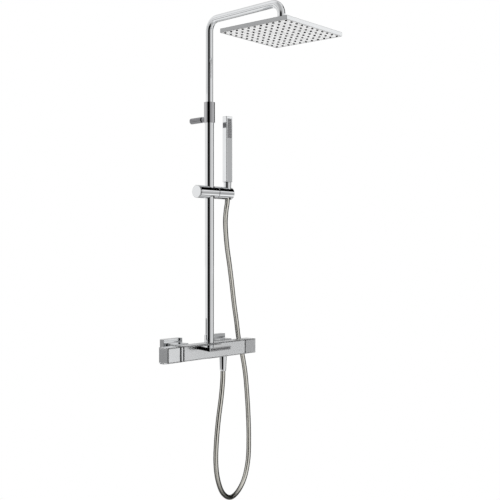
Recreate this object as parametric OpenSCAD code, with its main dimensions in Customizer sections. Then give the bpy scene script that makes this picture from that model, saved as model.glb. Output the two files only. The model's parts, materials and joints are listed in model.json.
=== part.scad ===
// Wall-hung rainfall shower column: a square thermostatic bar valve with a short cascade spout, a
// telescopic riser with a square overhead rose on a ball joint, and a stick hand shower on a slider.
// Millimetres. The wall is the plane Y = 0 and +Y goes into it, +X is to the right of a person who
// faces the wall, and +Z is up. The origin is midway between the two wall inlets.

/* [Valve] */
// Distance from the wall to the axis of the valve and riser
wall_gap = 63; // [63:1:75]
// Length of the valve between the outer ends of its handles
valve_length = 300; // [290:2:340]
// Depth of the square section, away from the wall
valve_depth = 33; // [32:1:36]
// Height of the square section
valve_height = 36; // [36:1:40]
// Length of each handle
handle_length = 40; // [34:1:44]
// Distance between the two wall inlets
inlet_spacing = 150; // [148:1:152]
// Side of each square wall cover
cover_size = 60; // [54:1:66]
// Width of the cascade spout
spout_width = 71; // [60:1:80]
// How far the cascade spout stands out of the valve's front
spout_reach = 38; // [30:1:60]
// Thickness of the cascade spout
spout_thick = 8.5; // [8.5:0.5:9]

/* [Riser and arm] */
// Diameter of the lower riser
riser_d = 22; // [22:0.5:22.5]
// Diameter of the upper tube, which slides in the lower riser
arm_d = 18; // [17.5:0.5:18]
// Height of the lower end of the collar that joins the two tubes
collar_z = 554; // [500:2:600]
// Length of the collar
collar_length = 50; // [48:1:60]
// Height of the arm's centre line
arm_z = 804; // [790:2:900]
// Reach of the arm, from the riser's axis to the rose's axis
arm_reach = 230; // [200:2:300]
// Radius of the arm's bends, at the centre line
bend_r = 27; // [25:1:28]

/* [Rain rose] */
// Side of the square rose
rose_size = 196; // [180:2:250]
// Thickness of the rose at its rim
rose_thick = 9; // [9:0.5:12]
// Nozzles along each side
nozzle_rows = 11; // [9:1:11]
// Diameter of a nozzle
nozzle_d = 5; // [3.5:0.1:5]
// Angle by which the rose's wall side hangs higher than its front, on the ball joint
rose_tilt = 1.5; // [0:0.5:8]

/* [Slider and hand shower] */
// Height of the slider's axis
slider_z = 385; // [300:5:400]
// Diameter of the slider and holder
slider_d = 31; // [31:1:33]
// Width of the hand shower
handset_w = 21; // [20:0.5:22]
// Depth of the hand shower
handset_d = 14.5; // [14:0.5:16]
// Length of the hand shower
handset_length = 163; // [140:1:180]
// Outer diameter of the hose
hose_d = 12.3; // [12:0.1:12.4]

/* [Hidden] */

// Facets of a round. Anything above 12 is a true round, and swept tubes use tube_sides.
$fn = 48;
tube_sides = 10;
// Overlap that joins two shapes of one piece
eps = 0.01;

// Clearances
running = 0.05;
loose = 0.3;
edge_r = 2;
// Gap at each side of the temperature ring, and at the flow handle
ring_seam = 2;
handle_seam = 1.6;
// How far the black gaskets in those gaps stay inside the valve's outline
seam_inset = 0.5;

// Frame
axis_y = -wall_gap;
half_valve = valve_length / 2;
front_y = axis_y - valve_depth / 2;
back_y = axis_y + valve_depth / 2;
valve_top = valve_height / 2;
valve_bottom = -valve_height / 2;
inlet_x = inlet_spacing / 2;

// Valve body and its bores
body_x1 = half_valve - handle_length;
collar_w = 10;
body_x0 = -body_x1 + collar_w;
cartridge_r = 11.5;
thermo_end = -42;
flow_start = 62;
spindle_r = 4;
nut_w = 6;
thermo_groove_x = [-86, -64, -48];
flow_groove_x = body_x1 - 12;
gallery_r = 5;
channel_r = 2.2;
port_r = 7.5;
port_end_wall = 3.5;
spigot_r = 13;
spigot_length = 12;
groove_r = 0.8;
seal_r = 0.75;

// Cascade spout
spout_x0 = -53;
spout_z0 = 4.4;
spout_drop = 2.6;
tip_y = front_y - spout_reach;
spout_tongue = 3;
spout_feed_x = -22;
slot_h = 3.6;
slot_side = 4;
mouth_side = 3;
mouth_h = 6;
mouth_depth = 9;
straightener_back = 0.6;
straightener_depth = 8;

// Inlets
union_size = 40;
union_length = 30;
flange_y = back_y + spigot_length + 2;
cover_depth = 14;
cover_wall = 1.6;
inlet_thread_r = 10.48;
inlet_thread_length = 20;
connector_r = 9.9;
connector_flange_r = 12.8;

// Riser
riser_r = riser_d / 2;
riser_wall = 1;
riser_z0 = 5;
riser_seal_z = [9, 13.5];
riser_z1 = collar_z + 26;
collar_r = 13.5;
arm_r = arm_d / 2;
arm_wall = 1.2;
arm_bore_r = arm_r - arm_wall;
arm_z0 = 300;
bush_length = 30;
guide_seal_z = [arm_z0 + 6, arm_z0 + 22];
screw_z = collar_z + 39;
screw_r = 2.5;

// Wall bracket
bracket_z = collar_z + 10;
boss_r = 6.5;
boss_length = 7;
neck_length = 5;
sleeve_r = 7.25;
bracket_screw_r = 3;
bracket_screw_y1 = 36;
bracket_head_r = 4.4;
bracket_head_y = [11.4, 12.4];
wall_hole_r = 3.3;
wall_hole_depth = 20;

// Hose outlet and its nut
outlet_x = 47;
nut_top_r = 9.75;
nut_end_r = 8;
nut_length = 38;
nut_tip = 4;
nipple_r = 7.4;
nipple_length = 14;
hose_r = hose_d / 2;
washer_h = 2;

// Slider and holder
slider_r = slider_d / 2;
slider_x0 = -44;
seam_x = 21;
slider_x1 = 73;
slider_bush_r = 12.5;
cap_w = 3;
bolt_r = 4;
bolt_head_r = 7;
handset_x = 60;
handset_y = axis_y - 3;
handset_z0 = 413;

// Hand shower
handset_round = 1.5;
handset_wall = 1.8;
handset_z1 = handset_z0 + handset_length;
plate_w = 14;
plate_h = 47;
plate_thick = 1.5;
plate_z0 = handset_z1 - 6 - plate_h;
handset_nozzle_x = [-4.5, 0, 4.5];
handset_nozzle_rows = 10;
handset_nozzle_pitch = 4.3;

// Rose and its ball joint
rose_y = axis_y - arm_reach;
rose_z1 = arm_z - 64.5;
rose_z0 = rose_z1 - rose_thick;
rose_wall = 2;
rim = 1.4;
face_gap = 1.2;
shelf = 4.5;
face_thick = 1.6;
mat_thick = 1.5;
gasket_thick = 1.5;
face_inset = 0.2;
gasket_z1 = face_inset + face_thick + mat_thick + gasket_thick;
nozzle_out = 0.8;
nozzle_pitch = rose_size / nozzle_rows;
ball_z = arm_z - 52;
ball_r = 9;
seat_r = 11;
cup_r = 14.5;
ball_nut_r = 16.5;
stem_r = 5;
arm_end_z = arm_z - 36;

// Route of the hose from the hand shower's nut to the outlet under the valve: x, y from the riser's
// axis, and z
hose_bends = [
    [60, -3, 396], [60, -3, 385], [60, -3, 373], [60, -2, 360], [60, 1, 346], [62, 5, 331],
    [67, 11, 313], [77, 19, 286], [91, 28, 250], [107, 35, 206], [117, 36, 155],
    [126, 37, 106], [135, 37, 60], [143, 37, 16], [155, 36, -24], [166, 35, -75],
    [173, 35, -130], [177, 34, -190], [179, 34, -248], [174, 32, -304], [156, 29, -350],
    [125, 24, -377], [91, 18, -383], [58, 12, -363], [36, 7, -325], [26, 4, -280],
    [26, 2, -230], [32, 1, -175], [41, 0, -120], [46, 0, -80], [47, 0, -56], [47, 0, -40]
];
hose_route = [for (p = hose_bends) p + [0, axis_y, 0]];

// ---- Shared shapes ----

// Rectangle with round corners, centred
module round_rect(w, h, r) {
    square([w - 2 * r, h], center = true);
    square([w, h - 2 * r], center = true);
    for (x = [-1, 1], y = [-1, 1])
        translate([x * (w / 2 - r), y * (h / 2 - r)]) circle(r);
}

// Bar along X from x0 to x1 on the valve's axis, with round long edges
module bar_x(x0, x1, depth, height, r) {
    translate([x0, axis_y, 0])
        rotate([90, 0, 90]) linear_extrude(x1 - x0) round_rect(depth, height, r);
}

// Cylinder along X from x0 to x1
module rod_x(x0, x1, r, y = axis_y, z = 0) {
    translate([x0, y, z]) rotate([0, 90, 0]) cylinder(r = r, h = x1 - x0);
}

// Cylinder along Y from y0 to y1
module rod_y(y0, y1, r, x = 0, z = 0) {
    translate([x, y1, z]) rotate([90, 0, 0]) cylinder(r = r, h = y1 - y0);
}

// Upright cylinder from z0 to z1
module rod_z(z0, z1, r, x = 0, y = axis_y) {
    translate([x, y, z0]) cylinder(r = r, h = z1 - z0);
}

// Ring whose section is a circle, round the Z axis
module o_ring(ring_r, section_r) {
    rotate_extrude() translate([ring_r, 0]) circle(section_r, $fn = 24);
}

// Catmull-Rom curve through points, n steps to a span
function curve_point(p0, p1, p2, p3, t) =
    0.5 * (2 * p1 + (p2 - p0) * t + (2 * p0 - 5 * p1 + 4 * p2 - p3) * t * t
           + (3 * p1 - p0 - 3 * p2 + p3) * t * t * t);
function before(p, i) = i > 0 ? p[i - 1] : 2 * p[0] - p[1];
function after(p, i) = i + 2 < len(p) ? p[i + 2] : 2 * p[i + 1] - p[i];
function smooth_route(p, n) = concat(
    [for (i = [0 : len(p) - 2], k = [0 : n - 1])
        curve_point(before(p, i), p[i], p[i + 1], after(p, i), k / n)],
    [p[len(p) - 1]]);

// Frames carried along a route without twist: one sideways unit vector for each point
function unit(v) = v / norm(v);
function tangent(p, i) = unit(p[min(i + 1, len(p) - 1)] - p[max(i - 1, 0)]);
function flattened(v, t) = unit(v - (v * t) * t);
function sides(p, first) = [
    for (i = 0, v = flattened(first, tangent(p, 0)); i < len(p);
         i = i + 1, v = i < len(p) ? flattened(v, tangent(p, i)) : v) v];

// Round tube or wire of radius r swept along the points of p, with flat ends
module swept(p, r, n, first) {
    side = sides(p, first);
    rings = len(p);
    points = [
        for (i = [0 : rings - 1], k = [0 : n - 1])
            let (other = cross(tangent(p, i), side[i]), a = 360 * k / n)
                p[i] + r * (cos(a) * side[i] + sin(a) * other)];
    skin = [
        for (i = [0 : rings - 2], k = [0 : n - 1])
            let (j = (k + 1) % n, a = i * n, b = (i + 1) * n)
                each [[a + k, b + k, b + j], [a + k, b + j, a + j]]];
    ends = [[for (k = [0 : n - 1]) k], [for (k = [n - 1 : -1 : 0]) (rings - 1) * n + k]];
    polyhedron(points, concat(skin, ends), convexity = 6);
}

// Compression spring along X, from x0, as one swept wire
module spring_x(x0, length, coil_r, wire_r, turns) {
    steps = 10;
    p = [for (i = [0 : turns * steps])
        [x0 + wire_r + (length - 2 * wire_r) * i / (turns * steps),
         axis_y + coil_r * cos(360 * i / steps), coil_r * sin(360 * i / steps)]];
    swept(p, wire_r, 6, [0, 1, 0]);
}

// ---- Valve ----

module valve_body() color("silver") difference() {
    union() {
        bar_x(body_x0, body_x1, valve_depth, valve_height, edge_r);
        for (x = [-inlet_x, inlet_x]) rod_y(back_y - 1, back_y + spigot_length, spigot_r, x);
    }
    rod_x(body_x0 - 1, thermo_end, cartridge_r);
    rod_x(flow_start, body_x1 + 1, cartridge_r);
    rod_x(thermo_end - 1, flow_start + 1, gallery_r);
    // riser socket with its two seal grooves
    rod_z(riser_z0, valve_top + 1, riser_r + running);
    rod_z(0, valve_top, gallery_r);
    for (z = riser_seal_z) translate([0, axis_y, z]) o_ring(riser_r + running + seal_r, groove_r);
    // hose outlet
    rod_z(valve_bottom - 1, 0, gallery_r, outlet_x);
    rod_z(valve_bottom - 1, valve_bottom + 8, nipple_r + running, outlet_x);
    // inlets: the hot one opens into its cartridge, the cold one feeds the channel along the back
    for (x = [-inlet_x, inlet_x]) rod_y(back_y - port_end_wall, back_y + spigot_length + 1, port_r, x);
    rod_y(axis_y, back_y, gallery_r, -inlet_x);
    rod_x(-56, inlet_x, channel_r, axis_y + 12.9, -8);
    rod_y(axis_y, axis_y + 12.9, channel_r, -54, -8);
    // recess for the spout's tongue, and the way up to it
    translate([spout_x0 + slot_side / 2, front_y - 1, spout_middle(front_y) - spout_thick / 2 + 1])
        cube([spout_width - slot_side, spout_tongue + 1, spout_thick - 2]);
    rod_y(front_y + 1, axis_y, 3, spout_feed_x, spout_middle(front_y));
    rod_z(0, spout_middle(front_y), 3, spout_feed_x);
}

module temperature_collar() color("gainsboro") difference() {
    bar_x(ring_seam / 2 - body_x1, body_x0 - ring_seam, valve_depth, valve_height, edge_r);
    rod_x(body_x0 - collar_w - 1, body_x0 + 1, spindle_r + running);
}

// Seal groove round a cartridge, from x
module seal_groove(x) difference() {
    rod_x(x, x + 2.4, cartridge_r + 1);
    rod_x(x - 1, x + 4, cartridge_r - 2);
}

module thermostatic_cartridge() color("goldenrod") difference() {
    rod_x(body_x0 + nut_w, thermo_end - 1, cartridge_r - running);
    for (x = thermo_groove_x) seal_groove(x);
    rod_x(body_x0, thermo_end + 1, spindle_r + 0.3);
    rod_y(axis_y, back_y, 3, -inlet_x);
    rod_x(-80, -50, 7.3);
}

module wax_element() color("peru") union() {
    rod_x(-66, -52, 3.9);
    rod_x(-70, -66, 2.5);
}

module thermostat_spring() color("darkgray") spring_x(-79.5, 28, 5.9, 0.6, 7);

module flow_cartridge() color("ivory") difference() {
    rod_x(flow_start + 1, body_x1 - nut_w, cartridge_r - running);
    rod_x(flow_start + 4, body_x1 - nut_w - 8, 9.2);
    rod_x(flow_start, body_x1, spindle_r + running);
    seal_groove(flow_groove_x);
}

module fixed_disc() color("white") difference() {
    rod_x(flow_start + 4, flow_start + 7, 9.1);
    for (a = [0, 120, 240]) translate([flow_start, axis_y, 0]) rotate([a, 0, 0])
        translate([0, 0, 5.4]) rotate([0, 90, 0]) cylinder(r = 2.2, h = 12);
}

module cartridge_nuts() color("darkgoldenrod") {
    cartridge_nut(body_x0, body_x0 + nut_w);
    cartridge_nut(body_x1 - nut_w, body_x1);
}

module cartridge_nut(x0, x1) difference() {
    rod_x(x0, x1, cartridge_r - running);
    rod_x(x0 - 1, x1 + 1, spindle_r + 0.3);
}

// Square gasket that fills a gap beside a handle or the ring, from x0 to x1
module seam_gasket(x0, x1) difference() {
    bar_x(x0, x1, valve_depth - 2 * seam_inset, valve_height - 2 * seam_inset, edge_r);
    rod_x(x0 - 1, x1 + 1, spindle_r + 0.2);
}

module valve_seals() color("black") {
    for (x = concat(thermo_groove_x, flow_groove_x))
        translate([x + 1.2, axis_y, 0]) rotate([0, 90, 0]) o_ring(cartridge_r - 1, 0.95);
    seam_gasket(0.1 - body_x1 - ring_seam / 2, ring_seam / 2 - body_x1);
    seam_gasket(body_x0 - ring_seam, body_x0);
    seam_gasket(body_x1, body_x1 + handle_seam - 0.1);
}

// Height of the spout's middle, which falls from the valve to the tip
function spout_middle(y) =
    spout_z0 + spout_thick / 2 + spout_drop * (y - front_y + spout_reach) / spout_reach;

// Sloping slab along the spout's middle, from x0, between y0 and y1
module spout_slab(x0, width, thick, y0, y1) translate([x0, 0, 0]) rotate([90, 0, 90])
    linear_extrude(width) polygon([
        [y0, spout_middle(y0) - thick / 2], [y1, spout_middle(y1) - thick / 2],
        [y1, spout_middle(y1) + thick / 2], [y0, spout_middle(y0) + thick / 2]
    ]);

module cascade_spout() color("silver") difference() {
    union() {
        spout_slab(spout_x0, spout_width, spout_thick, tip_y, front_y);
        translate([spout_x0 + slot_side / 2 + 0.2, front_y - 1,
                   spout_middle(front_y) - spout_thick / 2 + 1.2])
            cube([spout_width - slot_side - 0.4, spout_tongue + 0.8, spout_thick - 2.4]);
    }
    spout_slab(spout_x0 + slot_side, spout_width - 2 * slot_side, slot_h, tip_y, front_y + spout_tongue + 1);
    spout_slab(spout_x0 + mouth_side, spout_width - 2 * mouth_side, mouth_h, tip_y - 1, tip_y + mouth_depth);
}

// Comb that fills the spout's mouth, with a row of windows for the water
module flow_straightener() color("gray") difference() {
    spout_slab(spout_x0 + mouth_side, spout_width - 2 * mouth_side, mouth_h,
               tip_y + straightener_back, tip_y + straightener_back + straightener_depth);
    for (x = [spout_x0 + mouth_side + 1 : 4 : spout_x0 + spout_width - mouth_side - 4])
        spout_slab(x, 3, slot_h, tip_y, tip_y + mouth_depth + 1);
}

// ---- Inlets ----

module inlet_connectors() color("silver") for (x = [-inlet_x, inlet_x]) difference() {
    union() {
        rod_y(flange_y, flange_y + 3, connector_flange_r, x);
        rod_y(flange_y, 0, connector_r, x);
        rod_y(0, inlet_thread_length, inlet_thread_r, x);
    }
    rod_y(flange_y - 1, inlet_thread_length + 1, port_r, x);
}

module union_nuts() color("silver") for (x = [-inlet_x, inlet_x]) difference() {
    translate([x, back_y + 0.2, 0])
        rotate([-90, 0, 0]) linear_extrude(union_length) round_rect(union_size, union_size, 1);
    rod_y(back_y - 1, flange_y + 3 + running, spigot_r + running, x);
    rod_y(back_y, back_y + union_length + 1, connector_r + running, x);
}

module escutcheons() color("gainsboro") for (x = [-inlet_x, inlet_x]) difference() {
    translate([x, 0, 0]) rotate([90, 0, 0])
        linear_extrude(cover_depth) round_rect(cover_size, cover_size, 1);
    translate([x, 1, 0]) rotate([90, 0, 0]) linear_extrude(cover_depth - cover_wall + 1)
        square(cover_size - 2 * cover_wall, center = true);
    rod_y(-cover_depth - 1, 1, connector_r + loose, x);
}

module check_valves() color("white") for (x = [-inlet_x, inlet_x]) difference() {
    rod_y(back_y - 2, back_y + 8, port_r - running, x);
    rod_y(back_y - 3, back_y + 2, 4.5, x);
    rod_y(back_y + 4, back_y + 9, 4.5, x);
    for (a = [0 : 90 : 270]) rotate_about_y(x, a) translate([3, 0, 0]) rod_y(back_y - 3, back_y + 9, 0.9);
}

module rotate_about_y(x, a) translate([x, 0, 0]) rotate([0, a, 0]) children();

module inlet_filters() color("silver") for (x = [-inlet_x, inlet_x]) difference() {
    rod_y(back_y + spigot_length, back_y + spigot_length + 2, 12.5, x);
    for (a = [0 : 60 : 300]) rotate_about_y(x, a)
        translate([4, 0, 0]) rod_y(back_y + spigot_length - 1, back_y + spigot_length + 3, 1.3);
}

// ---- Riser ----

module lower_riser() color("gainsboro") difference() {
    rod_z(riser_z0, riser_z1, riser_r);
    rod_z(riser_z0 - 1, riser_z1 + 1, riser_r - riser_wall);
}

module riser_seals() color("dimgray")
    for (z = riser_seal_z) translate([0, axis_y, z]) o_ring(riser_r + running + seal_r, seal_r);

module height_collar() color("silver") difference() {
    rod_z(collar_z, collar_z + collar_length, collar_r);
    rod_z(collar_z - 1, riser_z1, riser_r + running);
    rod_z(riser_z1 - 1, collar_z + collar_length - 2, riser_r + 0.5);
    rod_z(collar_z, collar_z + collar_length + 1, arm_r + loose);
    rod_y(axis_y, axis_y + collar_r + 1, screw_r, 0, screw_z);
    rod_y(axis_y, axis_y + collar_r + 1, bracket_screw_r, 0, bracket_z);
    rod_y(axis_y, axis_y + bracket_head_y[1], bracket_head_r + 0.1, 0, bracket_z);
}

module collar_bush() color("dimgray") difference() {
    rod_z(riser_z1, collar_z + collar_length - 2, riser_r + 0.45);
    rod_z(riser_z1 - 1, collar_z + collar_length, arm_r + running);
    rod_y(axis_y, axis_y + collar_r + 1, screw_r + 0.1, 0, screw_z);
}

module collar_grub_screw() color("darkgray") difference() {
    rod_y(axis_y + arm_r + 0.4, axis_y + collar_r, screw_r, 0, screw_z);
    rod_y(axis_y + collar_r - 2, axis_y + collar_r + 1, 1.25, 0, screw_z, $fn = 6);
}

module bracket_sleeve() color("silver") difference() {
    union() {
        rod_y(axis_y + 12, axis_y + collar_r + boss_length, boss_r, 0, bracket_z);
        rod_y(axis_y + collar_r, -1, 5, 0, bracket_z);
        rod_y(axis_y + collar_r + boss_length + neck_length, 0, sleeve_r, 0, bracket_z);
    }
    rod_z(bracket_z - 10, bracket_z + 10, collar_r);
    rod_y(axis_y, axis_y + bracket_screw_y1, bracket_screw_r, 0, bracket_z);
    rod_y(-wall_hole_depth, 1, wall_hole_r, 0, bracket_z);
}

module bracket_screw() color("darkgray") difference() {
    union() {
        rod_y(axis_y + bracket_head_y[0], axis_y + bracket_screw_y1, bracket_screw_r, 0, bracket_z);
        rod_y(axis_y + bracket_head_y[0], axis_y + bracket_head_y[1], bracket_head_r, 0, bracket_z);
    }
    rod_y(axis_y, axis_y + bracket_head_y[1] + 1.5, 1.75, 0, bracket_z, $fn = 6);
}

// ---- Hose and its ends ----

// Hose nut: a slow cone with a rounded tip, upright, its wide end at z = 0 and its tip below
module hose_nut() difference() {
    rotate_extrude() polygon([
        [0, 0], [nut_top_r - 0.6, 0], [nut_top_r, -0.6], [nut_end_r, nut_tip - nut_length],
        [nut_end_r - 0.5, 2 - nut_length], [hose_r + 0.9, -nut_length], [0, -nut_length]]);
    translate([0, 0, -nipple_length - 3]) cylinder(r = nipple_r + running, h = 20);
    translate([0, 0, -nut_length - 1]) cylinder(r = hose_r + 0.4, h = nut_length);
}

module outlet_nipple() color("goldenrod") difference() {
    rod_z(valve_bottom - nipple_length, valve_bottom + 8, nipple_r, outlet_x);
    rod_z(valve_bottom - nipple_length - 1, valve_bottom + 9, gallery_r - 0.5, outlet_x);
}

module outlet_hose_nut() color("silver") translate([outlet_x, axis_y, valve_bottom - 0.1]) hose_nut();

module outlet_washer() color("dimgray") difference() {
    rod_z(valve_bottom - nipple_length - washer_h, valve_bottom - nipple_length, nipple_r, outlet_x);
    rod_z(valve_bottom - nipple_length - washer_h - 1, valve_bottom, gallery_r, outlet_x);
}

module shower_hose() color("darkkhaki") swept(smooth_route(hose_route, 2), hose_r, tube_sides, [1, 0, 0]);

// ---- Handles ----

// Handle: a square block with all its edges round, hollow from its inner end at x0, for a spindle
module handle(x0, x1, open_x, closed_x) difference() {
    intersection() {
        bar_x(x0, x1, valve_depth, valve_height, edge_r);
        translate([(x0 + x1) / 2, axis_y, valve_bottom])
            linear_extrude(valve_height) round_rect(x1 - x0, valve_depth, edge_r);
        translate([(x0 + x1) / 2, axis_y + valve_depth / 2, 0]) rotate([90, 0, 0])
            linear_extrude(valve_depth) round_rect(x1 - x0, valve_height, edge_r);
    }
    rod_x(min(open_x, closed_x), max(open_x, closed_x), 7 + running);
    rod_z(valve_bottom - 1, 0, 2, (open_x + closed_x) / 2);
}

// Spindle along X with the thick splined end that fits a handle
module spindle(thin_x, thick_x0, thick_x1) {
    rod_x(min(thin_x, thick_x0), max(thin_x, thick_x1), spindle_r - running);
    difference() {
        rod_x(thick_x0, thick_x1, 7);
        for (a = [0 : 30 : 330]) translate([thick_x0 - 1, axis_y, 0]) rotate([a, 0, 0])
            translate([0, -0.4, 6.3]) cube([thick_x1 - thick_x0 + 2, 0.8, 2]);
    }
}

// Socket set screw, upright, from its tip at z = 0
module set_screw(x, z0, z1, r) difference() {
    rod_z(z0, z1, r, x);
    rod_z(z0 - 1, z0 + 2, 1, x, $fn = 6);
}

module temperature_handle() color("gainsboro")
    handle(-half_valve, -body_x1 - ring_seam / 2, -body_x1 + 1, -half_valve + 8);

module temperature_spindle() color("goldenrod")
    spindle(-70.5, -half_valve + 10, -body_x1 - 4);

module temperature_grub_screw() color("darkgray")
    set_screw((1 - body_x1 - half_valve + 8) / 2, valve_bottom + 1, -7.1, 1.9);

module flow_handle() color("gainsboro")
    handle(body_x1 + handle_seam, half_valve, body_x1 - 1, half_valve - 8);

module flow_spindle() color("goldenrod")
    spindle(flow_start + 10.5, body_x1 + 4, half_valve - 10);

module moving_disc() color("white") difference() {
    rod_x(flow_start + 7.05, flow_start + 10.5, 9.1);
    for (a = [60, 180]) translate([flow_start + 6, axis_y, 0]) rotate([a, 0, 0])
        translate([0, 0, 5.4]) rotate([0, 90, 0]) cylinder(r = 2.2, h = 2.5);
}

module flow_grub_screw() color("darkgray")
    set_screw((body_x1 - 1 + half_valve - 8) / 2, valve_bottom + 1, -7.1, 1.9);

// ---- Slider and holder ----

// Round bar along X on the slider's axis, with a small chamfer at each end
module slider_bar(x0, x1) translate([x0, axis_y, slider_z]) rotate([0, 90, 0])
    rotate_extrude() polygon([
        [0, 0], [slider_r - 0.6, 0], [slider_r, 0.6], [slider_r, x1 - x0 - 0.6],
        [slider_r - 0.6, x1 - x0], [0, x1 - x0]]);

module slider_body() color("silver") difference() {
    slider_bar(slider_x0 + cap_w, seam_x);
    rod_z(slider_z - 20, slider_z + 20, slider_bush_r);
    rod_x(slider_x0, -slider_bush_r + 1, 5.2, axis_y, slider_z);
    rod_x(14, seam_x + 1, bolt_r, axis_y, slider_z);
    rod_x(seam_x - 1, seam_x + 1, 12, axis_y, slider_z);
}

module slider_bush() color("dimgray") difference() {
    intersection() {
        rod_z(slider_z - slider_r, slider_z + slider_r, slider_bush_r);
        rod_x(-20, 20, slider_r - 0.1, axis_y, slider_z);
    }
    rod_z(slider_z - 20, slider_z + 20, riser_r + running);
    rod_x(slider_x0, 0, 4.6, axis_y, slider_z);
}

module slider_pad() color("dimgray") difference() {
    rod_x(-22, -8, 4.5, axis_y, slider_z);
    rod_z(slider_z - 20, slider_z + 20, riser_r + running);
}

module slider_spring() color("darkgray")
    translate([0, 0, slider_z]) spring_x(slider_x0 + cap_w, 19, 3.8, 0.6, 6);

module slider_cap() color("gainsboro") slider_bar(slider_x0, slider_x0 + cap_w);

module pivot_bolt() color("darkgray") {
    rod_x(14, 42, bolt_r - running, axis_y, slider_z);
    difference() {
        rod_x(38, 42, bolt_head_r, axis_y, slider_z);
        rod_x(40, 43, 2.5, axis_y, slider_z, $fn = 6);
    }
}

module friction_washer() color("dimgray") difference() {
    rod_x(seam_x - 1, seam_x + loose - running, 11.8, axis_y, slider_z);
    rod_x(seam_x - 2, seam_x + 2, bolt_r + 0.2, axis_y, slider_z);
}

// Seat for the hose nut: the nut's own slow cone with a little clearance
module nut_seat(gap) translate([handset_x, handset_y, handset_z0]) rotate_extrude() polygon([
    [0, 10], [nut_top_r + gap, 10], [nut_top_r + gap, -0.6],
    [nut_end_r + gap, nut_tip - nut_length], [nut_end_r + gap, -60], [0, -60]]);

module handset_holder() color("silver") difference() {
    slider_bar(seam_x + loose, slider_x1);
    nut_seat(0.1);
    rod_x(seam_x - 1, 60, bolt_r + running, axis_y, slider_z);
    rod_x(38 - running, 60, bolt_head_r + 0.4, axis_y, slider_z);
}

// ---- Hand shower ----

module handset_body() color("silver") difference() {
    translate([handset_x, handset_y, handset_z0]) intersection() {
        linear_extrude(handset_length) round_rect(handset_w, handset_d, handset_round);
        translate([0, handset_d, handset_length / 2]) rotate([90, 0, 0])
            linear_extrude(2 * handset_d) round_rect(handset_w, handset_length, 0.8);
    }
    translate([handset_x, handset_y, handset_z0 + 16])
        linear_extrude(handset_length - 16 - handset_wall)
            square([handset_w - 2 * handset_wall, handset_d - 2 * handset_wall], center = true);
    rod_z(handset_z0 - 1, handset_z0 + 17, 5.5, handset_x, handset_y);
    translate([handset_x - plate_w / 2, handset_y - handset_d, plate_z0])
        cube([plate_w, handset_d, plate_h]);
}

// The hand shower's nozzles, as upright pegs along Y from y0 to y1
module handset_pegs(y0, y1, r) for (x = handset_nozzle_x, i = [0 : handset_nozzle_rows - 1])
    rod_y(y0, y1, r, handset_x + x,
          plate_z0 + plate_h / 2 + (i - (handset_nozzle_rows - 1) / 2) * handset_nozzle_pitch, $fn = 16);

module handset_spray_plate() color("darkgray") difference() {
    translate([handset_x - plate_w / 2 + 0.05, handset_y - handset_d / 2 + 0.3, plate_z0 + 0.05])
        cube([plate_w - 0.1, plate_thick, plate_h - 0.1]);
    handset_pegs(handset_y - handset_d, handset_y, 1.05);
}

module handset_nozzles() color("dimgray") {
    translate([handset_x - plate_w / 2 + 0.1, handset_y - handset_d / 2 + 0.3 + plate_thick, plate_z0 + 1])
        cube([plate_w - 0.2, 1, plate_h - 2]);
    handset_pegs(handset_y - handset_d / 2 + 0.05, handset_y - handset_d / 2 + 0.4 + plate_thick, 1);
}

module handset_nipple() color("goldenrod") difference() {
    union() {
        rod_z(handset_z0 - nipple_length, handset_z0, nipple_r, handset_x, handset_y);
        rod_z(handset_z0 - eps, handset_z0 + 12, 5.45, handset_x, handset_y);
    }
    rod_z(handset_z0 - nipple_length - 1, handset_z0 + 13, 4, handset_x, handset_y);
}

module flow_limiter() color("mediumseagreen") difference() {
    rod_z(handset_z0 + 6, handset_z0 + 9, 3.95, handset_x, handset_y);
    rod_z(handset_z0 + 5, handset_z0 + 10, 1.2, handset_x, handset_y);
}

module handset_hose_nut() color("silver")
    translate([handset_x, handset_y, handset_z0 - 0.1]) hose_nut();

module handset_washer() color("dimgray") difference() {
    rod_z(handset_z0 - nipple_length - washer_h, handset_z0 - nipple_length, nipple_r, handset_x,
          handset_y);
    rod_z(handset_z0 - nipple_length - washer_h - 1, handset_z0, gallery_r, handset_x, handset_y);
}

// ---- Telescopic arm ----

module guide_bush() color("dimgray") difference() {
    rod_z(arm_z0 - 3, arm_z0 + bush_length, riser_r - riser_wall - running);
    rod_z(arm_z0 - eps, arm_z0 + bush_length + 1, arm_r + running);
    rod_z(arm_z0 - 4, arm_z0 + 1, arm_bore_r - 1);
    for (z = guide_seal_z) translate([0, axis_y, z]) o_ring(riser_r - riser_wall - 0.4, 0.4);
}

module guide_seals() color("black")
    for (z = guide_seal_z) translate([0, axis_y, z]) o_ring(riser_r - riser_wall - 0.4, 0.34);

// Solid rod that follows the arm: up the riser, forward over the rose and down to its joint
module arm_path(r, end_gap) {
    rod_z(arm_z0 - end_gap, arm_z - bend_r, r);
    translate([0, axis_y - bend_r, arm_z - bend_r]) rotate([90, 0, 90])
        rotate_extrude(angle = 90) translate([bend_r, 0]) circle(r);
    rod_y(rose_y + bend_r, axis_y - bend_r, r, 0, arm_z);
    translate([0, rose_y + bend_r, arm_z - bend_r]) rotate([90, 0, 90]) rotate([0, 0, 90])
        rotate_extrude(angle = 90) translate([bend_r, 0]) circle(r);
    rod_z(arm_end_z - end_gap, arm_z - bend_r, r, 0, rose_y);
}

module shower_arm() color("gainsboro") difference() {
    arm_path(arm_r, 0);
    arm_path(arm_bore_r, 1);
}

module arm_insert() color("silver") difference() {
    union() {
        rod_z(arm_end_z, arm_z - bend_r, arm_bore_r - running, 0, rose_y);
        rod_z(arm_end_z - 2, arm_end_z, arm_r, 0, rose_y);
    }
    rod_z(arm_end_z - 3, arm_z - bend_r + 1, stem_r + running, 0, rose_y);
}

// ---- Ball joint and rose ----

module ball_at(r) translate([0, rose_y, ball_z]) sphere(r);

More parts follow.
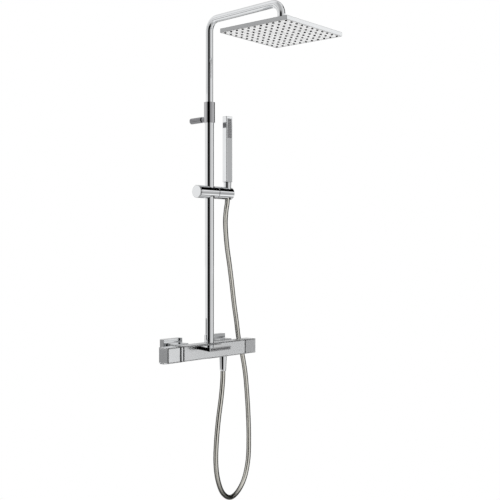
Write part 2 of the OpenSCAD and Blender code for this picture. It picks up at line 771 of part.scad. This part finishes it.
module ball_stem() color("silver") difference() {
    union() {
        ball_at(ball_r);
        rod_z(ball_z, arm_z - bend_r + 2.3, stem_r, 0, rose_y);
        rod_z(arm_z - bend_r + 0.3, arm_z - bend_r + 2.3, 6.4, 0, rose_y);
    }
    rod_z(ball_z - ball_r - 1, arm_z, 3.2, 0, rose_y);
}

// Everything that hangs from the ball: tipped about it by the rose's tilt
module tipped() translate([0, rose_y, ball_z]) rotate([rose_tilt, 0, 0])
    translate([0, -rose_y, -ball_z]) children();

module ball_seat() color("dimgray") tipped() difference() {
    intersection() {
        ball_at(seat_r);
        rod_z(ball_z - 5, ball_z + 5, seat_r + 1, 0, rose_y);
    }
    ball_at(ball_r + running);
}

// Square prism round the rose's axis, from z0 to z1
module rose_block(z0, z1, side) translate([-side / 2, rose_y - side / 2, z0])
    cube([side, side, z1 - z0]);

module rose_shell() color("silver") tipped() difference() {
    union() {
        translate([0, rose_y, rose_z0]) linear_extrude(rose_thick) round_rect(rose_size, rose_size, 1.2);
        rod_z(rose_z1 - 1, ball_z + 4, cup_r, 0, rose_y);
    }
    rose_block(rose_z0 - 1, rose_z0 + gasket_z1, rose_size - 2 * rim);
    rose_block(rose_z0, rose_z1 - rose_wall, rose_size - 2 * rim - 2 * shelf);
    ball_at(seat_r + running);
    rod_z(ball_z, ball_z + 5, seat_r + running, 0, rose_y);
    rod_z(rose_z0, ball_z, 4, 0, rose_y);
}

// Nozzle pegs on the square grid from z0 to z1
module rose_pegs(z0, z1, r) for (i = [0 : nozzle_rows - 1], j = [0 : nozzle_rows - 1])
    rod_z(z0, z1, r, (i - (nozzle_rows - 1) / 2) * nozzle_pitch,
          rose_y + (j - (nozzle_rows - 1) / 2) * nozzle_pitch, $fn = 20);

module rose_face() color("whitesmoke") tipped() difference() {
    rose_block(rose_z0 + face_inset, rose_z0 + face_inset + face_thick, rose_size - 2 * (rim + face_gap));
    rose_pegs(rose_z0 - 1, rose_z0 + face_thick + 1, nozzle_d / 2 + 0.05);
}

module rose_nozzles() color("black") tipped() {
    rose_block(rose_z0 + face_inset + face_thick, rose_z0 + gasket_z1 - gasket_thick,
               rose_size - 2 * rim - 0.4);
    rose_pegs(rose_z0 - nozzle_out, rose_z0 + face_inset + face_thick + eps, nozzle_d / 2);
}

module rose_gasket() color("dimgray") tipped() difference() {
    rose_block(rose_z0 + gasket_z1 - gasket_thick, rose_z0 + gasket_z1, rose_size - 2 * rim - 0.4);
    rose_block(rose_z0, rose_z1, rose_size - 2 * rim - 2 * shelf);
}

module ball_nut() color("gainsboro") tipped() difference() {
    rod_z(ball_z - 7, ball_z + 6.5, ball_nut_r, 0, rose_y);
    rod_z(ball_z - 8, ball_z + 4, cup_r + running, 0, rose_y);
    ball_at(seat_r + running);
    rod_z(ball_z, ball_z + 8, 9.4, 0, rose_y);
    for (a = [0 : 60 : 300]) translate([0, rose_y, 0]) rotate([0, 0, a])
        translate([ball_nut_r + 1.2, 0, ball_z - 8]) cylinder(r = 2, h = 20);
}

// ---- Drawing ----

valve_body();
temperature_collar();
thermostatic_cartridge();
wax_element();
thermostat_spring();
flow_cartridge();
fixed_disc();
cartridge_nuts();
valve_seals();
cascade_spout();
flow_straightener();
inlet_connectors();
union_nuts();
escutcheons();
check_valves();
inlet_filters();
lower_riser();
riser_seals();
height_collar();
collar_bush();
collar_grub_screw();
bracket_sleeve();
bracket_screw();
outlet_nipple();
outlet_hose_nut();
outlet_washer();
shower_hose();
temperature_handle();
temperature_spindle();
temperature_grub_screw();
flow_handle();
flow_spindle();
moving_disc();
flow_grub_screw();
slider_body();
slider_bush();
slider_pad();
slider_spring();
slider_cap();
pivot_bolt();
friction_washer();
handset_holder();
handset_body();
handset_spray_plate();
handset_nozzles();
handset_nipple();
flow_limiter();
handset_hose_nut();
handset_washer();
guide_bush();
guide_seals();
shower_arm();
arm_insert();
ball_stem();
ball_seat();
rose_shell();
rose_face();
rose_nozzles();
rose_gasket();
ball_nut();
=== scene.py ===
"""Rainfall shower column: the wound hose, finishes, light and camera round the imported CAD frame."""

import json
import math

import bpy
import numpy as np
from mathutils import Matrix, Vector


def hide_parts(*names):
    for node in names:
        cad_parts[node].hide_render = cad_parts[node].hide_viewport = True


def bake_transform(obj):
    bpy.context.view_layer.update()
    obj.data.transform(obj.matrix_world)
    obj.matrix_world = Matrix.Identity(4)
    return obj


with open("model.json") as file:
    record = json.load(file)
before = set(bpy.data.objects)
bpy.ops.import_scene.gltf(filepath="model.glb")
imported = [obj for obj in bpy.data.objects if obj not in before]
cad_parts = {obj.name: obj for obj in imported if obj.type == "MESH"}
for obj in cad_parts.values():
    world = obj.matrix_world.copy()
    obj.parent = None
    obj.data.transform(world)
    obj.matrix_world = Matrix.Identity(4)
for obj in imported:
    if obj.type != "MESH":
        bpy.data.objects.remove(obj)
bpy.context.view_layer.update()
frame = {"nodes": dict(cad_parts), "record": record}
MM = 0.001

# ---- Camera ----

VIEW_AZIMUTH = math.radians(42.42)  # direction the camera looks along, from +X towards +Y
CAMERA_AT = (-1.461, -1.532, 0.244)
CAMERA_LENS = 61.04
camera_data = bpy.data.cameras.new("photo_camera")
camera_data.lens = CAMERA_LENS
camera_data.sensor_width = 36
camera_data.clip_start = 0.05
camera = bpy.data.objects.new("photo_camera", camera_data)
bpy.context.collection.objects.link(camera)
camera.location = CAMERA_AT
camera.rotation_euler = (math.radians(90), 0, VIEW_AZIMUTH - math.radians(90))
bpy.context.scene.camera = camera

# ---- Hose ----

HOSE_D = 12.3 * MM
AXIS_Y = -63  # the riser's axis, from the wall
HOSE_BENDS = [
    (60, -3, 396), (60, -3, 385), (60, -3, 373), (60, -2, 360), (60, 1, 346), (62, 5, 331),
    (67, 11, 313), (77, 19, 286), (91, 28, 250), (107, 35, 206), (117, 36, 155),
    (126, 37, 106), (135, 37, 60), (143, 37, 16), (155, 36, -24), (166, 35, -75),
    (173, 35, -130), (177, 34, -190), (179, 34, -248), (174, 32, -304), (156, 29, -350),
    (125, 24, -377), (91, 18, -383), (58, 12, -363), (36, 7, -325), (26, 4, -280),
    (26, 2, -230), (32, 1, -175), (41, 0, -120), (46, 0, -80), (47, 0, -56), (47, 0, -40),
]
HOSE_ROUTE_MM = [(x, AXIS_Y + y, z) for x, y, z in HOSE_BENDS]
ROUTE_STEPS = 40  # points of the smooth route between two bends
SPIRAL_PITCH = 2.8 * MM
SPIRAL_DEPTH = 0.26 * MM
STRIP_HURRY = 1.12  # over 1, so that the strip ends before the turn does and leaves a seam
STRIP_ROUNDNESS = 0.45  # smaller is flatter
RINGS_TO_A_TURN = 6
HOSE_SIDES = 24

# Heights along the hose at the handset blend, its top, the holder ring, the slider ring and the outlet; the
# holder and slider rings cut it into pieces
HOSE_TOP_Z = 0.396
HANDSET_BLEND_Z = 0.345
HOLDER_RING_Z = 0.318
SLIDER_RING_Z = 0.150
OUTLET_Z = -0.056


def catmull_rom(points, steps):
    """A smooth line through the points, with the given steps between each two."""
    p = np.array(points, float)
    p = np.vstack([2 * p[0] - p[1], p, 2 * p[-1] - p[-2]])
    out = []
    for i in range(1, len(p) - 2):
        for t in np.arange(steps) / steps:
            out.append(0.5 * (2 * p[i] + (p[i + 1] - p[i - 1]) * t
                              + (2 * p[i - 1] - 5 * p[i] + 4 * p[i + 1] - p[i + 2]) * t ** 2
                              + (3 * p[i] - p[i - 1] - 3 * p[i + 1] + p[i + 2]) * t ** 3))
    out.append(p[-2])
    return np.array(out)


def arc_lengths(line):
    """Distance along the line to each of its points."""
    return np.concatenate([[0], np.cumsum(np.linalg.norm(np.diff(line, axis=0), axis=1))])


def resample(line, at):
    """The line's points at the given distances."""
    s = arc_lengths(line)
    return np.stack([np.interp(at, s, line[:, k]) for k in range(3)], axis=1)


def transported_frames(line):
    """Tangents, and side directions that turn as little as they can along the line."""
    tangents = np.gradient(line, axis=0)
    tangents /= np.linalg.norm(tangents, axis=1)[:, None]
    side = np.array([1.0, 0, 0])
    sides = []
    for t in tangents:
        side = side - (side @ t) * t
        side /= np.linalg.norm(side)
        sides.append(side)
    return tangents, np.array(sides)


def mesh_object(name, points, faces, smooth=True):
    mesh = bpy.data.meshes.new(name)
    mesh.from_pydata([tuple(p) for p in points], [], faces)
    mesh.update()
    for polygon in mesh.polygons:
        polygon.use_smooth = smooth
    obj = bpy.data.objects.new(name, mesh)
    bpy.context.collection.objects.link(obj)
    return obj


def spiral_profile(turn):
    """Height of the wound strip across one turn, 0 in the seam and 1 on its crown."""
    phase = turn % 1.0
    return np.sin(np.pi * np.clip(phase * STRIP_HURRY, 0, 1)) ** STRIP_ROUNDNESS


hose_line = catmull_rom(HOSE_ROUTE_MM, ROUTE_STEPS) * MM
hose_total = arc_lengths(hose_line)[-1]
ring_count = int(hose_total / SPIRAL_PITCH * RINGS_TO_A_TURN)
ring_at = np.linspace(0, hose_total, ring_count + 1)
hose_line = resample(hose_line, ring_at)
hose_tangents, hose_sides = transported_frames(hose_line)
hose_ups = np.cross(hose_tangents, hose_sides)
lowest = int(np.argmin(hose_line[:, 2]))
LOW_Z = float(hose_line[lowest, 2])
ring_holder = int(np.argmin(abs(hose_line[:lowest, 2] - HOLDER_RING_Z)))
ring_slider = int(np.argmin(abs(hose_line[:lowest, 2] - SLIDER_RING_Z)))
HOLDER_Z = float(hose_line[ring_holder, 2])
SLIDER_Z = float(hose_line[ring_slider, 2])


def hose_piece(name, first, last):
    """The wound hose from one ring to another, with flat ends."""
    angles = np.linspace(0, 2 * math.pi, HOSE_SIDES, endpoint=False)
    points = []
    for i in range(first, last + 1):
        turn = ring_at[i] / SPIRAL_PITCH - angles / (2 * math.pi)
        radius = HOSE_D / 2 - SPIRAL_DEPTH * (1 - spiral_profile(turn))
        for a, r in zip(angles, radius):
            points.append(hose_line[i] + r * (math.cos(a) * hose_sides[i] + math.sin(a) * hose_ups[i]))
    n, rings = HOSE_SIDES, last - first + 1
    faces = [(i * n + k, i * n + (k + 1) % n, (i + 1) * n + (k + 1) % n, (i + 1) * n + k)
             for i in range(rings - 1) for k in range(n)]
    faces.append(tuple(reversed(range(n))))
    faces.append(tuple((rings - 1) * n + k for k in range(n)))
    return mesh_object(name, points, faces)


def declare_hose(obj, first, last):
    """Hide the CAD's own hose and bake the piece's placement into its mesh; a path through one ring a turn
    is worked out but not used.
    """
    path = hose_line[first:last + 1:RINGS_TO_A_TURN]
    path = np.vstack([path, hose_line[last]])
    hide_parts("shower_hose")
    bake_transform(obj)


# Name, first and last ring, the body at the blend's start and at its end, and those two heights
hose_parts = [
    ("hose_top", 0, ring_holder, "holder", "handset", HANDSET_BLEND_Z, HOSE_TOP_Z),
    ("hose_upper", ring_holder, ring_slider, "slider", "holder", SLIDER_Z, HOLDER_Z),
    ("hose_fall", ring_slider, lowest, "column", "slider", 2 * LOW_Z - SLIDER_Z, SLIDER_Z),
    ("hose_rise", lowest, ring_count, "column", "slider", OUTLET_Z, 2 * LOW_Z - OUTLET_Z),
]
hose_pieces = []
for name, first, last, a, b, start_z, end_z in hose_parts:
    piece = hose_piece(name, first, last)
    declare_hose(piece, first, last)
    hose_pieces.append(piece)

# ---- Materials ----

SHADE = 0.93  # the darker tone of a colour's broad variation
EDGE_ROUGHER = 0.06
BUMP_DISTANCE = 0.05 * MM
BEVEL_SAMPLES = 6
SHARP_ENOUGH = 0.997  # lean of the rounded normal past which nothing counts as an edge


class Nodes:
    """Small helper for one node material."""

    def __init__(self, name):
        self.material = bpy.data.materials.new(name)
        self.material.use_nodes = True
        self.tree = self.material.node_tree
        self.shader = self.tree.nodes["Principled BSDF"]
        self.coordinates = self.add("ShaderNodeTexCoord")

    def add(self, kind, **settings):
        node = self.tree.nodes.new(kind)
        for key, value in settings.items():
            if hasattr(node, key):
                setattr(node, key, value)
            else:
                node.inputs[key.replace("_", " ").title()].default_value = value
        return node

    def link(self, out, into):
        self.tree.links.new(out, into)

    def noise(self, scale, detail=4.0, rough=0.55, stretch=None):
        node = self.add("ShaderNodeTexNoise", Scale=scale, Detail=detail, Roughness=rough)
        source = self.coordinates.outputs["Object"]
        if stretch:
            mapping = self.add("ShaderNodeMapping")
            mapping.inputs["Scale"].default_value = stretch
            self.link(source, mapping.inputs["Vector"])
            source = mapping.outputs["Vector"]
        self.link(source, node.inputs["Vector"])
        return node.outputs["Fac"]

    def spread(self, value, low, high, start=0.3, end=0.7):
        node = self.add("ShaderNodeMapRange")
        node.inputs["From Min"].default_value = start
        node.inputs["From Max"].default_value = end
        node.inputs["To Min"].default_value = low
        node.inputs["To Max"].default_value = high
        self.link(value, node.inputs["Value"])
        return node.outputs["Result"]

    def mix(self, factor, first, second):
        node = self.add("ShaderNodeMix", data_type="RGBA")
        self.link(factor, node.inputs["Factor"])
        for socket, colour in ((node.inputs["A"], first), (node.inputs["B"], second)):
            if isinstance(colour, tuple):
                socket.default_value = (*colour, 1)
            else:
                self.link(colour, socket)
        return node.outputs["Result"]

    def edge_mask(self, radius, start):
        """1 on sharp edges, from how far a rounded normal leans from the true one."""
        bevel = self.add("ShaderNodeBevel", samples=BEVEL_SAMPLES)
        bevel.inputs["Radius"].default_value = radius
        geometry = self.add("ShaderNodeNewGeometry")
        dot = self.add("ShaderNodeVectorMath", operation="DOT_PRODUCT")
        self.link(bevel.outputs["Normal"], dot.inputs[0])
        self.link(geometry.outputs["Normal"], dot.inputs[1])
        return self.spread(dot.outputs["Value"], 1.0, 0.0, start=start, end=SHARP_ENOUGH), bevel


def surface(name, colour, metallic, roughness, wear_and_edge_shade, scale, bump=0.02, bump_scale=900.0, edge=0.35,
            grain=None, rim_shade=None, edge_start=0.75, soften=True, cheeks_painted_reflection=None):
    """A material whose colour, gloss and relief vary at the scale of the real finish.

    Edges take the edge colour, over a width in mm: on the plastics, rubbers, ceramic, brass and steel a
    lighter real wear, and on the chromes and the spray face a dark painted shade along the edges. Rim_shade
    darkens a round piece's rims, and the faces that look along X take the cheek colour, a painted dark
    reflection.
    """
    n = Nodes(name)
    mask, bevel = n.edge_mask(edge * MM, edge_start)
    broad = n.noise(scale, stretch=grain)
    fine = n.noise(bump_scale, detail=2.0, stretch=grain)
    shade = tuple(c * SHADE for c in colour)
    tone = n.mix(n.spread(broad, 0.0, 1.0), colour, shade)
    # Edge colour: lighter real wear on most finishes, painted dark edge shade on the chromes and the spray
    # face
    n.link(n.mix(mask, tone, wear_and_edge_shade), n.shader.inputs["Base Color"])
    low, high = roughness
    gloss = n.spread(broad, low, high)
    rub = n.add("ShaderNodeMath", operation="MULTIPLY_ADD")
    rub.inputs[1].default_value = EDGE_ROUGHER
    n.link(mask, rub.inputs[0])
    n.link(gloss, rub.inputs[2])
    n.link(rub.outputs["Value"], n.shader.inputs["Roughness"])
    relief = n.add("ShaderNodeBump")
    relief.inputs["Strength"].default_value = bump
    relief.inputs["Distance"].default_value = BUMP_DISTANCE
    n.link(fine, relief.inputs["Height"])
    if soften:
        n.link(bevel.outputs["Normal"], relief.inputs["Normal"])
    n.link(relief.outputs["Normal"], n.shader.inputs["Normal"])
    if rim_shade:
        facing = n.add("ShaderNodeLayerWeight")
        facing.inputs["Blend"].default_value = 0.6
        shaded = n.mix(n.spread(facing.outputs["Facing"], 0.0, 1.0, start=0.14, end=0.38),
                       n.shader.inputs["Base Color"].links[0].from_socket, rim_shade)
        n.link(shaded, n.shader.inputs["Base Color"])
    # Faces that look along X take the cheek colour: a painted dark reflection
    if cheeks_painted_reflection:
        sideways = n.add("ShaderNodeSeparateXYZ")
        n.link(n.coordinates.outputs["Normal"], sideways.inputs["Vector"])
        turned = n.add("ShaderNodeMath", operation="ABSOLUTE")
        n.link(sideways.outputs["X"], turned.inputs[0])
        darkened = n.mix(n.spread(turned.outputs["Value"], 0.0, 1.0, start=0.9, end=0.99),
                         n.shader.inputs["Base Color"].links[0].from_socket, cheeks_painted_reflection)
        n.link(darkened, n.shader.inputs["Base Color"])
    n.shader.inputs["Metallic"].default_value = metallic
    return n.material


# The chromes and the spray face take a dark edge colour: painted shade along their edges
LOOKS = {
    "chrome": surface("chrome", (0.74, 0.75, 0.76), 1.0, (0.02, 0.05), (0.2, 0.2, 0.2), 14.0,
                      bump=0.0006, bump_scale=300.0, edge=1.5, edge_start=0.94,
                      soften=False),
    "soft_chrome": surface("soft_chrome", (0.74, 0.75, 0.76), 1.0, (0.04, 0.07), (0.2, 0.2, 0.2), 14.0,
                           bump=0.004, bump_scale=300.0, edge=1.0, edge_start=0.94),
    # The spout's sides are painted dark: a painted reflection
    "spout_chrome": surface("spout_chrome", (0.74, 0.75, 0.76), 1.0, (0.06, 0.1), (0.1, 0.1, 0.1), 14.0,
                            bump=0.002, bump_scale=300.0, edge=1.0, edge_start=0.94,
                            cheeks_painted_reflection=(0.02, 0.02, 0.02)),
    "grey_chrome": surface("grey_chrome", (0.42, 0.42, 0.43), 1.0, (0.04, 0.08), (0.25, 0.25, 0.26), 14.0,
                           bump=0.002, bump_scale=300.0, edge=0.9, soften=False),
    "dark_chrome": surface("dark_chrome", (0.24, 0.24, 0.25), 1.0, (0.04, 0.08), (0.16, 0.16, 0.17), 14.0,
                           bump=0.002, bump_scale=300.0, edge=0.9, soften=False),
    "satin_chrome": surface("satin_chrome", (0.72, 0.73, 0.74), 1.0, (0.11, 0.15), (0.02, 0.02, 0.02), 14.0,
                            bump=0.012, bump_scale=500.0, edge=3.2, edge_start=0.985),
    "valve_satin": surface("valve_satin", (0.74, 0.75, 0.76), 1.0, (0.24, 0.3), (0.02, 0.02, 0.02), 14.0,
                           bump=0.012, bump_scale=500.0, edge=3.2, edge_start=0.985),
    "grey_plastic": surface("grey_plastic", (0.36, 0.36, 0.37), 0.0, (0.4, 0.5), (0.4, 0.4, 0.4), 90.0,
                            bump=0.05),
    "grey_rubber": surface("grey_rubber", (0.2, 0.2, 0.205), 0.0, (0.5, 0.65), (0.26, 0.26, 0.26), 120.0,
                           bump=0.08),
    "spout_insert": surface("spout_insert", (0.5, 0.5, 0.51), 0.0, (0.4, 0.5), (0.3, 0.3, 0.3), 90.0,
                            bump=0.05),
    "spray_face": surface("spray_face", (0.95, 0.95, 0.95), 1.0, (0.22, 0.32), (0.12, 0.12, 0.12), 40.0,
                          bump=0.03, bump_scale=1500.0, grain=(1, 12, 1), edge=0.8, edge_start=0.9),
    "brass": surface("brass", (0.72, 0.52, 0.24), 1.0, (0.2, 0.36), (0.85, 0.68, 0.36), 60.0, bump=0.05),
    "steel": surface("steel", (0.55, 0.55, 0.56), 1.0, (0.22, 0.38), (0.72, 0.72, 0.72), 80.0, bump=0.06),
    "nozzle_rubber": surface("nozzle_rubber", (0.004, 0.004, 0.004), 0.0, (0.55, 0.7),
                             (0.012, 0.012, 0.012), 120.0, bump=0.1),
    "seal_rubber": surface("seal_rubber", (0.02, 0.02, 0.02), 0.0, (0.5, 0.7), (0.05, 0.05, 0.05), 90.0,
                           bump=0.12),
    "bearing_plastic": surface("bearing_plastic", (0.035, 0.035, 0.04), 0.0, (0.35, 0.5),
                               (0.09, 0.09, 0.09), 90.0, bump=0.08),
    "white_plastic": surface("white_plastic", (0.78, 0.78, 0.75), 0.0, (0.35, 0.5), (0.86, 0.86, 0.84),
                             70.0, bump=0.05),
    "ceramic": surface("ceramic", (0.88, 0.87, 0.83), 0.0, (0.12, 0.2), (0.95, 0.95, 0.93), 90.0, bump=0.02),
    "wax": surface("wax", (0.72, 0.42, 0.27), 1.0, (0.22, 0.34), (0.85, 0.56, 0.4), 90.0, bump=0.04),
    "limiter_plastic": surface("limiter_plastic", (0.18, 0.42, 0.25), 0.0, (0.4, 0.55), (0.3, 0.55, 0.36),
                               90.0, bump=0.05),
    "hose": surface("hose", (0.9, 0.88, 0.81), 1.0, (0.12, 0.18), (0.75, 0.73, 0.67), 60.0, bump=0.01,
                    edge=0.1, soften=False, rim_shade=(0.02, 0.02, 0.015)),
}

# Nodes whose finish differs from that of their slot; the spout's material paints its sides dark, a painted
# reflection
OWN_LOOKS = {"valve_body": "valve_satin", "handset_body": "soft_chrome", "cascade_spout": "spout_chrome",
             "bracket_sleeve": "dark_chrome"}

for part in frame["record"]["subparts"]:
    node = frame["nodes"][part["node"]]
    node.data.materials.clear()
    node.data.materials.append(LOOKS[OWN_LOOKS.get(part["node"], part["material_slot"])])
for piece in hose_pieces:
    piece.data.materials.append(LOOKS["hose"])

# ---- Stage: floor, light tent and the cards that the chrome mirrors ----

MIDDLE = Vector((0.0, -0.1, 0.2))
BEHIND = VIEW_AZIMUTH + math.pi  # azimuth of the camera as seen from the object
TENT_RADIUS = 4.0
TENT_ROWS = 24
TENT_COLUMNS = 48
TENT_LIFT = (0.45, 0.6)  # heights in tent radii between which its dark stretch brightens
TENT_TOP_GLOW = 0.55
CARD_INSIDE = 0.4  # how far the cards hang inside the tent
CARD_COLUMNS = 12
FLOOR_Z = -1.0
FLOOR_RADIUS = 1.8
FLOOR_SIDES = 96


def direction(around, elevation):
    """Unit vector from the object. Around is 0 towards the camera and grows to the picture's right."""
    a, e = BEHIND + math.radians(around), math.radians(elevation)
    return Vector((math.cos(e) * math.cos(a), math.cos(e) * math.sin(a), math.sin(e)))


def glow(name, strength):
    """A surface that only gives light."""
    n = Nodes(name)
    n.shader.inputs["Base Color"].default_value = (0, 0, 0, 1)
    n.shader.inputs["Roughness"].default_value = 1.0
    n.shader.inputs["Specular IOR Level"].default_value = 0.0
    n.shader.inputs["Emission Color"].default_value = (1, 1, 1, 1)
    n.shader.inputs["Emission Strength"].default_value = strength
    return n


# Brightness of the tent, by direction from the camera's side round to the right, in degrees
TENT = [(-180, 0.60), (-150, 0.80), (-128, 1.0), (-95, 1.05), (-85, 1.1), (-70, 0.85), (-54, 0.67),
        (-44, 0.60), (-42, 0.0), (13, 0.0), (15, 0.60), (24, 0.62), (51, 0.78), (80, 0.98), (90, 0.95),
        (91.3, 0.80), (93.8, 0.56), (98, 0.58), (100, 1.2), (106, 1.3), (112, 0.9), (121, 0.77),
        (150, 0.70), (180, 0.60)]


def ring_point(row, column):
    """Number of a tent point, counted after the bottom and top ones."""
    return 2 + (row - 1) * TENT_COLUMNS + column % TENT_COLUMNS


def tent():
    """The light tent: a sphere whose glow depends on the direction, and is hidden from the camera."""
    points = [MIDDLE + direction(0, -90) * TENT_RADIUS, MIDDLE + direction(0, 90) * TENT_RADIUS]
    for i in range(1, TENT_ROWS):
        for k in range(TENT_COLUMNS):
            around, elevation = 360 * k / TENT_COLUMNS, 180 * i / TENT_ROWS - 90
            points.append(MIDDLE + direction(around, elevation) * TENT_RADIUS)
    top = TENT_ROWS - 1
    faces = [(0, ring_point(1, k + 1), ring_point(1, k)) for k in range(TENT_COLUMNS)]
    faces += [(1, ring_point(top, k), ring_point(top, k + 1)) for k in range(TENT_COLUMNS)]
    faces += [(ring_point(i, k), ring_point(i, k + 1), ring_point(i + 1, k + 1), ring_point(i + 1, k))
              for i in range(1, top) for k in range(TENT_COLUMNS)]
    obj = mesh_object("tent", points, faces, smooth=False)
    n = glow("tent", 1.0)
    turned = n.add("ShaderNodeMapping", vector_type="TEXTURE")
    turned.inputs["Location"].default_value = MIDDLE
    turned.inputs["Rotation"].default_value = (0, 0, BEHIND)
    n.link(n.coordinates.outputs["Object"], turned.inputs["Vector"])
    split = n.add("ShaderNodeSeparateXYZ")
    n.link(turned.outputs["Vector"], split.inputs["Vector"])
    angle = n.add("ShaderNodeMath", operation="ARCTAN2")
    n.link(split.outputs["Y"], angle.inputs[0])
    n.link(split.outputs["X"], angle.inputs[1])
    share = n.spread(angle.outputs["Value"], 0.0, 1.0, start=-math.pi, end=math.pi)
    ramp = n.add("ShaderNodeValToRGB")
    n.link(share, ramp.inputs["Fac"])
    stops = ramp.color_ramp.elements
    while len(stops) < len(TENT):
        stops.new(0.5)
    for stop, (around, value) in zip(stops, TENT):
        stop.position = (around + 180) / 360
        stop.color = (value, value, value, 1)
    height = n.add("ShaderNodeMath", operation="ABSOLUTE")
    n.link(split.outputs["Z"], height.inputs[0])
    lift = n.spread(height.outputs["Value"], 0.0, TENT_TOP_GLOW,
                    start=TENT_RADIUS * TENT_LIFT[0], end=TENT_RADIUS * TENT_LIFT[1])
    brightest = n.add("ShaderNodeMath", operation="MAXIMUM")
    n.link(ramp.outputs["Color"], brightest.inputs[0])
    n.link(lift, brightest.inputs[1])
    n.link(brightest.outputs["Value"], n.shader.inputs["Emission Strength"])
    obj.data.materials.append(n.material)
    obj.visible_camera = False


def card(name, around, elevation, strength):
    """A curved card inside the tent, from one pair of angles to the other, seen only in reflections."""
    points = []
    for e in elevation:
        for k in range(CARD_COLUMNS + 1):
            a = around[0] + (around[1] - around[0]) * k / CARD_COLUMNS
            points.append(MIDDLE + direction(a, e) * (TENT_RADIUS - CARD_INSIDE))
    faces = [(k, k + 1, CARD_COLUMNS + 2 + k, CARD_COLUMNS + 1 + k) for k in range(CARD_COLUMNS)]
    obj = mesh_object(name, points, faces, smooth=False)
    obj.data.materials.append(glow(name, strength).material)
    obj.visible_camera = False


# The cards, by angles around and angles up, and how bright they are
tent()
card("dark_upper_right", (97, 150), (25, 54), 0.0)
card("dark_strip_right", (98, 132), (-39, -35), 0.1)
card("dark_lower_back", (163, 190), (-30, -14), 0.0)
card("bright_upper_right", (84, 100), (14, 24), 1.12)
card("bright_lower_back", (150, 210), (-12, -1), 1.25)
card("grey_upper_left", (-94, -76), (17, 24.8), 0.5)
card("dark_right_rim", (108, 150), (-30, 24), 0.12)
card("grey_lower_left", (-110, -68), (-18, -6.5), 0.36)
card("grey_lower_right", (91.5, 101), (-13, -2), 0.48)

floor = mesh_object("floor", [(FLOOR_RADIUS * math.cos(a), FLOOR_RADIUS * math.sin(a) + MIDDLE.y, FLOOR_Z)
                              for a in np.linspace(0, 2 * math.pi, FLOOR_SIDES, endpoint=False)],
                    [tuple(range(FLOOR_SIDES))], smooth=False)
floor_look = bpy.data.materials.new("floor")
floor_look.use_nodes = True
floor_shader = floor_look.node_tree.nodes["Principled BSDF"]
floor_shader.inputs["Base Color"].default_value = (0.82, 0.82, 0.82, 1)
floor_shader.inputs["Roughness"].default_value = 0.8
floor_shader.inputs["Emission Color"].default_value = (1, 1, 1, 1)
floor_shader.inputs["Emission Strength"].default_value = 0.4
floor.data.materials.append(floor_look)
floor.visible_glossy = False

world = bpy.data.worlds.new("studio")
bpy.context.scene.world = world
world.use_nodes = True
sky = world.node_tree.nodes["Background"]
sky.inputs["Color"].default_value = (1, 1, 1, 1)
sky.inputs["Strength"].default_value = 1.0

bpy.context.scene.view_settings.view_transform = "Standard"
bpy.context.scene.view_settings.look = "None"
